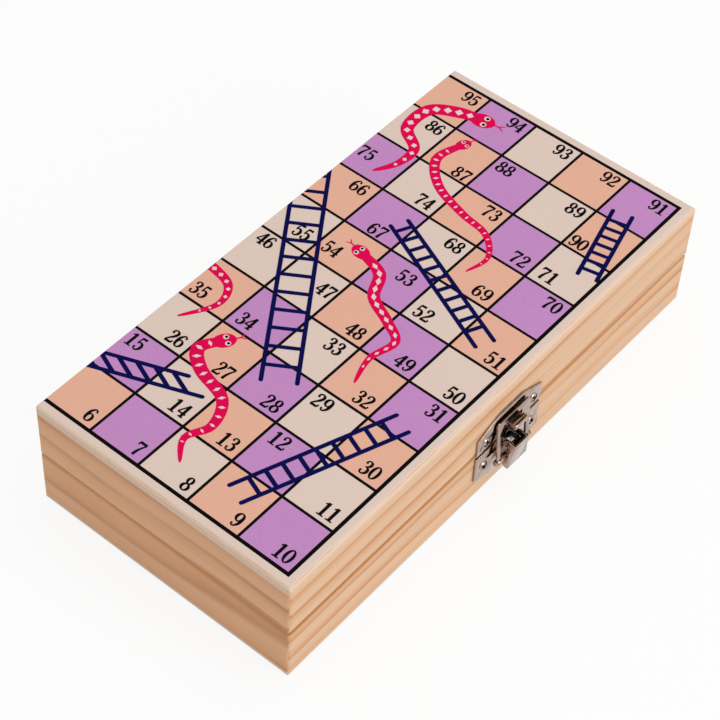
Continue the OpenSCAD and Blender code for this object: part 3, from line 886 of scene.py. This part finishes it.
# %% Ladders
RAIL_STEPS, RUNG_STEPS = 30, 6
LADDERS = {
    "4_14": ((-1.50, 0.65), (-1.06, 0.47), (1.38, 1.80), (1.82, 1.63), (9, 0.13, 0.919)),
    "9_31": ((3.28, 0.64), (3.63, 0.51), (4.29, 3.34), (4.64, 3.20), (9, 0.11, 0.905)),
    "28_76": ((2.26, 2.49), (2.74, 2.80), (-0.89, 7.10), (-0.41, 7.41), (14, 0.058, 0.967)),
    "51_67": ((4.34, 5.25), (4.48, 5.55), (1.65, 6.42), (1.79, 6.71), (11, 0.117, 0.948)),
    "71_91": ((4.61, 7.63), (4.94, 7.70), (4.20, 9.20), (4.54, 9.28), (7, 0.093, 0.859)),
    "2_23": ((-3.75, 0.60), (-3.42, 0.47), (-2.85, 2.60), (-2.52, 2.47), (7, 0.11, 0.91)),
    "41_62": ((-4.80, 4.40), (-4.48, 4.26), (-3.75, 6.60), (-3.43, 6.46), (8, 0.10, 0.90)),
    "57_83": ((-1.85, 5.35), (-1.52, 5.45), (-2.75, 8.50), (-2.42, 8.60), (10, 0.09, 0.92)),
}


def places(first, last, steps):
    return [first.lerp(last, k / steps) for k in range(steps + 1)]


def add_grown(shape, *recipe, **inputs):
    """Grows a tree and adds what it makes to a mesh under construction."""
    shape.from_mesh(grow(*recipe, **inputs))
    for face in shape.faces:
        face.material_index = 0


drawn, ladders = [], bmesh.new()
for *ends, (count, first, last) in LADDERS.values():
    foot_left, foot_right, head_left, head_right = corners = [spot(*end) for end in ends]
    add_grown(ladders, ladder_tree, Rungs=count, First=first, Last=last, Rail=RAIL_W, Rung=RUNG_W,
              Thickness=thickness("ladders"), Ink=INKS["navy"],
              **dict(zip(ENDS.split(), map(tuple, corners))))
    drawn += places(foot_left, head_left, RAIL_STEPS) + places(foot_right, head_right, RAIL_STEPS)
    for k in range(count):
        way = first + k * (last - first) / (count - 1)
        left, right = foot_left.lerp(head_left, way), foot_right.lerp(head_right, way)
        drawn += places(left, right, RUNG_STEPS)
lay("ladders", new_mesh("ladders", ladders, INKS["navy"]), "ladders")

# %% [markdown]
# ## Films of any outline
# Snakes and numerals are drawn with strokes that cross each other. Crossing films would flicker,
# so a triangulation of all the outlines keeps each triangle that at least one of them covers:
# that is their union. Walls on its open edges close it to a thin solid.

# %% Strokes and discs
CURVE_STEPS = 6
DISC_CORNERS, OVAL_CORNERS = 16, 24


def smooth(points):
    """A smooth line that passes through each point, whatever number of values a point has."""
    line = []
    for k in range(len(points) - 1):
        p0, p1, p2 = points[max(k - 1, 0)], points[k], points[k + 1]
        p3 = points[min(k + 2, len(points) - 1)]
        for step in range(CURVE_STEPS):
            t = step / CURVE_STEPS
            line.append([0.5 * (2 * b + (c - a) * t + (2 * a - 5 * b + 4 * c - d) * t * t
                                + (3 * b - a - 3 * c + d) * t ** 3)
                         for a, b, c, d in zip(p0, p1, p2, p3)])
    return line + [list(points[-1])]


def stroke(line):
    """Four-sided pieces along a line of (x, y, width)."""
    sides = []
    for k, (x, y, width) in enumerate(line):
        before, after = line[max(k - 1, 0)], line[min(k + 1, len(line) - 1)]
        ahead = Vector((after[0] - before[0], after[1] - before[1])).normalized() * (width / 2)
        sides.append(((x - ahead.y, y + ahead.x), (x + ahead.y, y - ahead.x)))
    return [(a[1], b[1], b[0], a[0]) for a, b in zip(sides, sides[1:])]


def disc(x, y, across, along=None, turn=0.0, corners=DISC_CORNERS):
    """A round or oval outline."""
    along = along or across
    points = []
    for k in range(corners):
        a = 2 * math.pi * k / corners
        px, py = across * math.cos(a), along * math.sin(a)
        points.append((x + px * math.cos(turn) - py * math.sin(turn),
                       y + px * math.sin(turn) + py * math.cos(turn)))
    return points


print("strokes and discs ready")

# %% Union of outlines
SAME_POINT = 1e-6


def union(outlines):
    """Points and triangles of the area that at least one outline covers."""
    points, faces = [], []
    for outline in outlines:
        corners = zip(outline, [*outline[1:], outline[0]])
        area = sum(a[0] * b[1] - b[0] * a[1] for a, b in corners)
        ordered = outline if area > 0 else outline[::-1]
        faces.append(list(range(len(points), len(points) + len(ordered))))
        points += [Vector(p) for p in ordered]
    found, _, triangles, _, _, sources = delaunay_2d_cdt(points, [], faces, 0, SAME_POINT)
    return found, [t for t, covered in zip(triangles, sources) if covered]


def add_film(shape, flat, layer, scale=1.0, shift=(0, 0)):
    """Adds a thin solid with the given flat outline to a mesh under construction."""
    found, triangles = flat
    half = thickness(layer) / 2
    top, low = {}, {}
    for i in sorted({i for t in triangles for i in t}):
        x, y = found[i][0] * scale + shift[0], found[i][1] * scale + shift[1]
        top[i], low[i] = shape.verts.new((x, y, half)), shape.verts.new((x, y, -half))
    edges = set()
    for a, b, c in triangles:
        shape.faces.new((top[a], top[b], top[c]))
        shape.faces.new((low[c], low[b], low[a]))
        edges |= {(a, b), (b, c), (c, a)}
    for a, b in edges:
        if (b, a) not in edges:
            shape.faces.new((top[b], top[a], low[a], low[b]))


print("films ready")

# %% [markdown]
# ## Snakes
# The snakes are this board's own: plain tapering curves with a round head, two eyes and rows of
# diamonds or bars. Each follows a smooth line through a few places on the board, thick behind
# the head and thin at the tail. Its markings are grown along the same line by a tree.

# %% Snake markings
sheet, given = new_tree("markings", Float="Spacing Long_share Wide_share From To Thickness")
walk = sheet.add("GeometryNodeResampleCurve", {
    "Curve": given.Geometry, "Length": given.Spacing}, mode="LENGTH")
share = sheet.add("GeometryNodeSplineParameter", output="Factor")
girth = sheet.add("GeometryNodeInputRadius")
diamond = sheet.add("GeometryNodeMeshCylinder", {
    "Vertices": 4, "Radius": 1.0, "Depth": given.Thickness})
marks = copies(sheet, walk, diamond, Selection=(share > given.From) * (share < given.To),
               Rotation=turned_to(sheet, sheet.add("GeometryNodeInputTangent")),
               Scale=join(sheet, girth * given.Long_share, girth * given.Wide_share, 1.0))
mark_tree = end_tree(sheet, given.Ink, marks)
print("marking tree:", len(mark_tree.nodes), "nodes")

# %% Lines and widths of the snakes
SNAKES = {
    "94_75": (6.6, (4.6, 0.55, 0.55), [
        (1.18, 9.46), (0.80, 9.36), (0.36, 9.05), (0.36, 8.45), (0.78, 8.12), (0.80, 7.66),
        (0.60, 7.25)]),
    "87_69": (4.3, (3.4, 0.28, 0.62), [
        (1.34, 8.74), (1.22, 8.18), (1.66, 7.69), (2.36, 7.44), (2.94, 7.32), (3.30, 6.92),
        (3.22, 6.45)]),
    "54_32": (5.2, (4.0, 0.80, 0.42), [
        (1.70, 5.62), (2.20, 5.46), (2.46, 5.00), (2.95, 4.74), (3.33, 4.48), (3.24, 3.95),
        (3.38, 3.42)]),
    "27_8": (5.6, (4.4, 0.30, 0.66), [
        (1.28, 2.68), (1.10, 2.32), (1.44, 2.02), (2.08, 1.80), (2.32, 1.30), (2.16, 0.86),
        (2.42, 0.48)]),
    "45_26": (5.2, (4.0, 0.55, 0.55), [
        (-0.55, 4.62), (-0.75, 4.16), (-0.42, 3.80), (0.12, 3.76), (0.56, 3.62), (0.70, 3.20),
        (0.40, 2.62)]),
    "99_79": (6.2, (4.6, 0.55, 0.55), [
        (-3.45, 9.55), (-3.90, 9.20), (-4.35, 8.72), (-4.28, 8.15), (-3.80, 7.90), (-3.45, 7.45)]),
    "43_22": (5.2, (4.0, 0.30, 0.66), [
        (-2.42, 4.62), (-2.80, 4.20), (-3.32, 4.02), (-3.76, 3.66), (-3.72, 3.15), (-3.40, 2.80),
        (-3.62, 2.40)]),
    "97_85": (4.4, (3.6, 0.80, 0.42), [
        (-1.55, 9.55), (-1.18, 9.20), (-1.32, 8.74), (-0.98, 8.40), (-0.45, 8.46)]),
}
TAIL_SHARE, TAPER, NECK_SHARE, NECK_REACH = 0.16, 0.7, 0.72, 0.18


def snake_widths(size, count):
    """Widths along a snake: a narrower neck, the thick of the body and a thin tail."""
    widths = []
    for k in range(count):
        taper = math.sin(math.pi * (0.5 + 0.5 * k / (count - 1))) ** TAPER
        neck = NECK_SHARE + (1 - NECK_SHARE) * min(1.0, k / (count * NECK_REACH))
        widths.append(size * min(TAIL_SHARE + (1 - TAIL_SHARE) * taper, neck))
    return widths


def snake_path(name, line, widths):
    path = bpy.data.curves.new(name, "CURVE")
    path.dimensions = "3D"
    spline = path.splines.new("POLY")
    spline.points.add(len(line) - 1)
    for point, (x, y), width in zip(spline.points, line, widths):
        point.co, point.radius = (x, y, 0, 1), width / 2
    return path


print(len(SNAKES), "snakes")

# %% Snake bodies
NOSE, CROWN, HEAD_LONG, HEAD_WIDE = 0.75, 0.15, 0.82, 0.60
FORK_FROM, FORK_TO, FORK_ASIDE, TONGUE = 0.5, 0.85, 0.22, (0.13, 0.11, 0.07)
EYE_AHEAD, EYE_ASIDE, EYE_R, PUPIL_AHEAD, PUPIL_R = 0.18, 0.29, 0.20, 0.03, 0.11
MARKS_FROM, MARKS_TO = 0.06, 0.92
bodies, markings, pupils = bmesh.new(), bmesh.new(), bmesh.new()
for name, (girth, (spacing, long_share, wide_share), way) in SNAKES.items():
    size = girth * MM
    line = smooth([spot(u, v)[:2] for u, v in way])
    widths = snake_widths(size, len(line))
    head = Vector(line[0])
    ahead = (head - Vector(line[2])).normalized()
    aside = Vector((-ahead.y, ahead.x))
    nose, crown = head + ahead * size * NOSE, head + ahead * size * CROWN
    fork = nose + ahead * size * FORK_FROM
    root_w, fork_w, tip_w = (size * share for share in TONGUE)
    outlines = stroke([(*p, w) for p, w in zip(line, widths)])
    outlines += [disc(*crown, size * HEAD_LONG, size * HEAD_WIDE, math.atan2(ahead.y, ahead.x),
                      OVAL_CORNERS), disc(*line[-1], widths[-1] / 2)]
    outlines += stroke([(*nose, root_w), (*fork, fork_w)])
    for s in (-1, 1):
        tip = nose + ahead * size * FORK_TO + aside * s * size * FORK_ASIDE
        outlines += stroke([(*fork, fork_w), (*tip, tip_w)])
        eye = crown + ahead * size * EYE_AHEAD + aside * s * size * EYE_ASIDE
        add_film(markings, union([disc(*eye, size * EYE_R)]), "marks")
        pupil = eye + ahead * size * PUPIL_AHEAD
        add_film(pupils, union([disc(*pupil, size * PUPIL_R)]), "pupils")
    add_film(bodies, union(outlines), "snakes")
    add_grown(markings, mark_tree, snake_path(name, line, widths), Spacing=spacing * MM,
              Long_share=long_share, Wide_share=wide_share, From=MARKS_FROM, To=MARKS_TO,
              Thickness=thickness("marks"), Ink=INKS["cream"])
    drawn += [Vector(p) for p in line]
lay("snakes", new_mesh("snakes", bodies, INKS["crimson"]), "snakes")
lay("snake_markings", new_mesh("markings", markings, INKS["cream"]), "marks")
lay("snake_pupils", new_mesh("pupils", pupils, INKS["black"]), "pupils")

# %% [markdown]
# ## Numerals
# The squares are numbered with book figures: thick stems, thin joins, small serifs and round
# drops at the ends of curves. Blender's own font has no serifs, so each figure is drawn from a
# few strokes on a sheet one unit high, made once and set wherever its number needs it.

# %% Ten figures
WEIGHT, HAIRLINE = 1.2, 0.03
PARTS, FIGURE_W = 100, 0.58


def pen(x, y, width):
    """A point of a stroke, from hundredths of the sheet, and the width of the pen there."""
    return x / PARTS, y / PARTS, width / PARTS * WEIGHT + HAIRLINE


def curve(*points):
    return stroke([pen(*point) for point in smooth(points)])


def straight(x0, y0, x1, y1, first, last=None):
    return stroke([pen(x0, y0, first), pen(x1, y1, last or first)])


def drop(x, y, radius):
    return disc(x / PARTS, y / PARTS, radius / PARTS)


def nought(*parts):
    """A ring with thick sides and thin ends."""
    x, y, across, along, side, end = (part / PARTS for part in parts)
    outer, inner = (disc(x, y, across + s * side / 2, along + s * end / 2, corners=OVAL_CORNERS)
                    for s in (1, -1))
    return [(outer[k - 1], outer[k], inner[k], inner[k - 1]) for k in range(OVAL_CORNERS)]


SIX = [*curve((45, 86, 5), (35, 95.5, 5.5), (22, 89, 8), (11, 69, 12), (8.5, 42, 13),
              (10, 26, 12)), *nought(29, 30, 19.5, 27, 18, 9), drop(43.5, 83.5, 7)]
FIGURES = {
    0: nought(29, 50, 20.5, 46, 18.5, 9),
    1: [*straight(30, 100, 30, 0, 13.5), *straight(10, 82, 30, 97, 5, 7),
        *straight(8, 2.5, 52, 2.5, 5)],
    2: [*curve((10, 74, 6), (14, 90, 7), (29, 97, 6), (44, 87, 11), (45, 70, 13),
               (34, 48, 11), (18, 27, 7), (7, 8, 6)), drop(13.5, 74, 7.8),
        *straight(4.5, 6, 49, 6, 12, 10), *straight(48.5, 5, 51.5, 24, 6)],
    3: [*curve((10, 80, 5), (16, 93, 6), (29, 97, 5.5), (42, 87, 11), (42, 69, 12),
               (31, 55, 6), (20, 53, 5)), drop(13.5, 79, 7.5),
        *curve((20, 53, 5), (33, 51, 6), (46, 40, 12), (46, 18, 13), (33, 3.5, 7),
               (18, 3, 6), (8, 14, 6)), drop(12, 19, 7.8)],
    4: [*straight(38.5, 98, 4, 30, 5.5), *straight(2, 29, 56, 29, 6.5),
        *straight(40, 100, 40, 0, 13), *straight(24, 2.5, 55, 2.5, 5)],
    5: [*straight(13, 93, 47, 94, 10, 12), *straight(15, 96, 11, 50, 5.5),
        *curve((10, 49, 5), (22, 60, 6), (36, 58, 9), (46, 44, 13), (46, 22, 13),
               (35, 5, 8), (20, 3, 6), (8, 14, 5)), drop(12, 19, 7.5)],
    6: SIX,
    7: [*straight(5, 93, 53, 93, 12), *straight(7.5, 97, 5, 74, 6),
        *curve((51, 90, 6), (37, 60, 8), (28, 30, 11.5), (25, 0, 13.5))],
    8: [*nought(29, 74.5, 15.5, 22, 16.5, 9), *nought(29, 26.5, 20, 23.5, 18.5, 9)],
    9: [[(FIGURE_W - x, 1 - y) for x, y in piece] for piece in SIX],
}
FIGURE_FLATS = {figure: union(outlines) for figure, outlines in FIGURES.items()}
print("figures:", {figure: len(flat[1]) for figure, flat in FIGURE_FLATS.items()}, "triangles")

# %% [markdown]
# ## Setting the numbers
# The count runs to and fro from row to row. A number stands in the near right corner of its
# square unless something is drawn there, and then in another corner. On the lid the corners are
# those of the real board, and on the base the script takes the first corner that is free, or
# else the place with the most room.

# %% Places for the numbers
FIGURE_H, ADVANCE = 6.4 * MM, 0.60
CORNERS = [(0.885, 0.105), (0.895, 0.64), (0.12, 0.635), (0.12, 0.12)]
FAR_RIGHT = {31, 68, 70, 73, 86, 89, 91, 92, 93, 94, 95}
FAR_LEFT, NEAR_LEFT = {12, 15, 29}, {34, 35, 52, 71}
OFF_CORNER = {30: (0.68, 0.25), 33: (0.68, 0.775), 46: (0.34, 0.795), 47: (0.80, 0.595),
              51: (0.75, 0.235), 53: (0.59, 0.68), 54: (0.27, 0.37), 55: (0.67, 0.33),
              66: (0.695, 0.765), 67: (0.565, 0.19), 75: (0.25, 0.50), 87: (0.77, 0.18),
              88: (0.255, 0.78), 90: (0.22, 0.20)}
TRIES = [(u, v) for v in (0.25, 0.5, 0.76) for u in (0.7, 0.5, 0.3)]
CLEAR = 3.0 * MM


def room(middle, width):
    """Free way from the box round a number to the nearest line of a snake or ladder."""
    return min(math.hypot(max(abs(p.x - middle.x) - width / 2, 0),
                          max(abs(p.y - middle.y) - FIGURE_H / 2, 0)) for p in drawn)


def place_of(number, width):
    """Middle of a number of the given width. Its column is counted from the fold."""
    row, step = divmod(number - 1, COLUMNS)
    column = (COLUMNS - 1 - step if row % 2 else step) - COLUMNS // 2

    def in_corner(corner):
        u, v = CORNERS[corner]
        side = -width / 2 if u > 0.5 else width / 2
        return spot(column + u, row + v) + Vector((side, FIGURE_H / 2, 0))

    if number in OFF_CORNER:
        u, v = OFF_CORNER[number]
        return spot(column + u, row + v)
    if column >= 0:
        groups = enumerate((FAR_RIGHT, FAR_LEFT, NEAR_LEFT), 1)
        return in_corner(next((k for k, group in groups if number in group), 0))
    tries = [in_corner(k) for k in range(len(CORNERS))]
    tries += [spot(column + u, row + v) for u, v in TRIES]
    rooms = [room(t, width) for t in tries]
    free = (t for t, r in zip(tries, rooms) if r > CLEAR)
    return next(free, tries[rooms.index(max(rooms))])


print(len(OFF_CORNER), "numbers stand away from the corners")

# %% Numbers
numbers = bmesh.new()
for number in range(1, COLUMNS * ROWS + 1):
    figures = [int(c) for c in str(number)]
    width = FIGURE_H * ADVANCE * len(figures)
    middle = place_of(number, width)
    for k, figure in enumerate(figures):
        corner = (middle.x - width / 2 + FIGURE_H * ADVANCE * k, middle.y - FIGURE_H / 2)
        add_film(numbers, FIGURE_FLATS[figure], "numbers", FIGURE_H, corner)
lay("numbers", new_mesh("numbers", numbers, INKS["black"]), "numbers")
